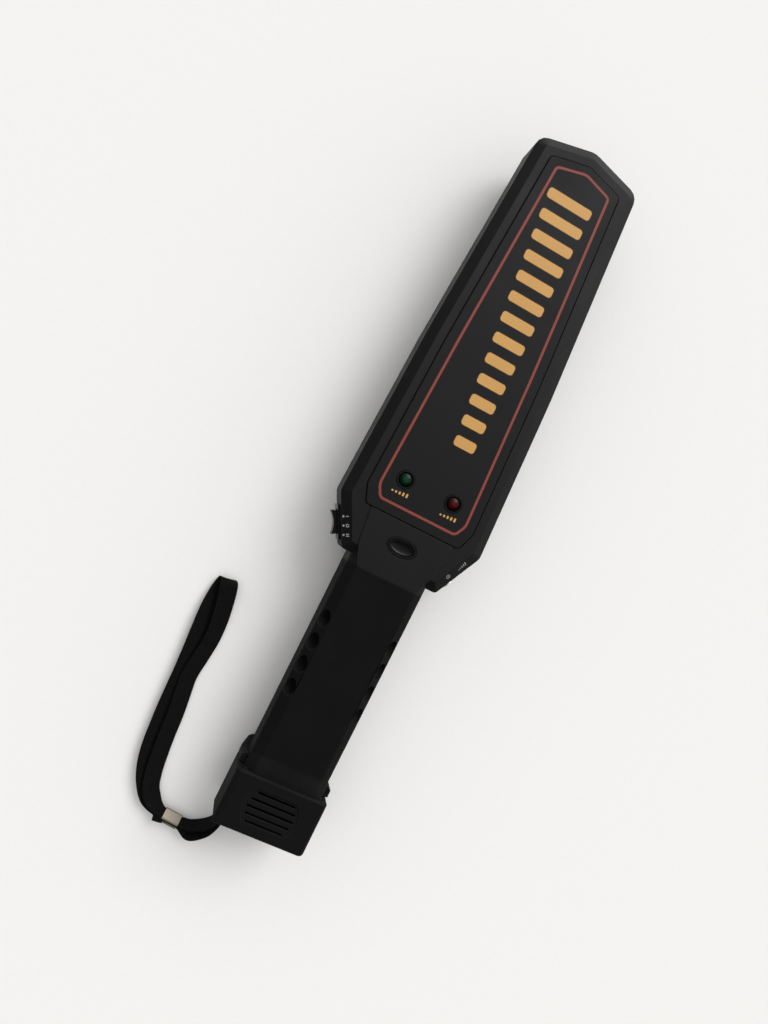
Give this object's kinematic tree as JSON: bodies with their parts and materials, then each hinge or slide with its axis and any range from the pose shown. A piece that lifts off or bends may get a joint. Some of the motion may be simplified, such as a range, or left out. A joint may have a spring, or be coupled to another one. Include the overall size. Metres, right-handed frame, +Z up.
{
  "type": "security metal detector wand",
  "caption": "Hand-held metal detector wand with a flat search head, neck button, side rocker switch, ribbed battery cap and wrist strap.",
  "frame": {"origin": "middle of the wand's footprint on the table, without the wrist strap", "axes": "+X across the wand to its right, +Y along it towards the search head's tip, +Z up through the front face"},
  "size_m": [0.1222, 0.4408, 0.045],
  "materials": {
    "shell_black": "fine-textured black plastic",
    "label_dark": "matt dark grey",
    "cap_black": "fine-textured black plastic",
    "gloss_black": "smooth black",
    "lens_green": "clear-tinted green",
    "lens_red": "clear-tinted red",
    "steel": "zinc-plated",
    "circuit_board": "green solder mask",
    "copper_winding": "varnished copper wire",
    "wire_red": "red insulation",
    "wire_black": "black insulation",
    "foam": "grey foam",
    "webbing_black": "ribbed black webbing",
    "crimp_grey": "dull nickel-plated"
  },
  "bodies": {
    "casing": {"front_shell": "shell_black", "rear_shell": "shell_black", "label_panel": "label_dark", "case_screw_1": "steel", "case_screw_2": "steel", "case_screw_3": "steel", "case_screw_4": "steel", "case_screw_5": "steel", "case_screw_6": "steel", "case_screw_7": "steel", "led_green": "lens_green", "led_red": "lens_red", "led_bezel_left": "gloss_black", "led_bezel_right": "gloss_black", "reset_bezel": "gloss_black", "rocker_housing": "gloss_black", "phone_jack": "gloss_black", "phone_jack_nut": "steel", "sensitivity_trimmer": "gloss_black", "main_board": "circuit_board", "board_screw_1": "steel", "board_screw_2": "steel", "board_screw_3": "steel", "board_screw_4": "steel", "tact_switch": "gloss_black", "control_chip": "gloss_black", "filter_capacitor": "steel", "speaker": "steel", "vibration_motor": "steel", "coil_former": "label_dark", "search_coil": "copper_winding", "coil_cable": "wire_black", "battery": "label_dark", "battery_snap": "gloss_black", "battery_lead_red": "wire_red", "battery_lead_black": "wire_black"},
    "push_button": {"reset_button": "gloss_black"},
    "switch_key": {"power_rocker": "gloss_black"},
    "adjuster": {"sensitivity_knob": "gloss_black"},
    "motor_weight": {"vibration_weight": "steel"},
    "cap": {"end_cap": "cap_black", "battery_pad": "foam", "strap_pin": "steel", "wrist_strap": "webbing_black", "strap_crimp": "crimp_grey"}
  },
  "joints": [
    {"name": "reset_press", "type": "slide", "parent": "casing", "child": "push_button", "axis": [0, 0, -1], "range_m": [0, 0.0008], "stiffness_N_per_m": 400},
    {"name": "power_rock", "type": "hinge", "parent": "casing", "child": "switch_key", "pos_m": [-0.03399, -0.03628, 0.031], "axis": [0, 0, 1], "range_deg": [-10, 10]},
    {"name": "sensitivity_turn", "type": "hinge", "parent": "casing", "child": "adjuster", "pos_m": [0.0383, -0.02919, 0.031], "axis": [0.8898, -0.4563, 0], "range_deg": [-135, 135]},
    {"name": "motor_spin", "type": "hinge", "parent": "casing", "child": "motor_weight", "pos_m": [0, -0.0773, 0.0164], "axis": [0, 1, 0], "continuous": true},
    {"name": "cap_pull", "type": "slide", "parent": "casing", "child": "cap", "axis": [0, -1, 0], "range_m": [0, 0.035]}
  ]
}
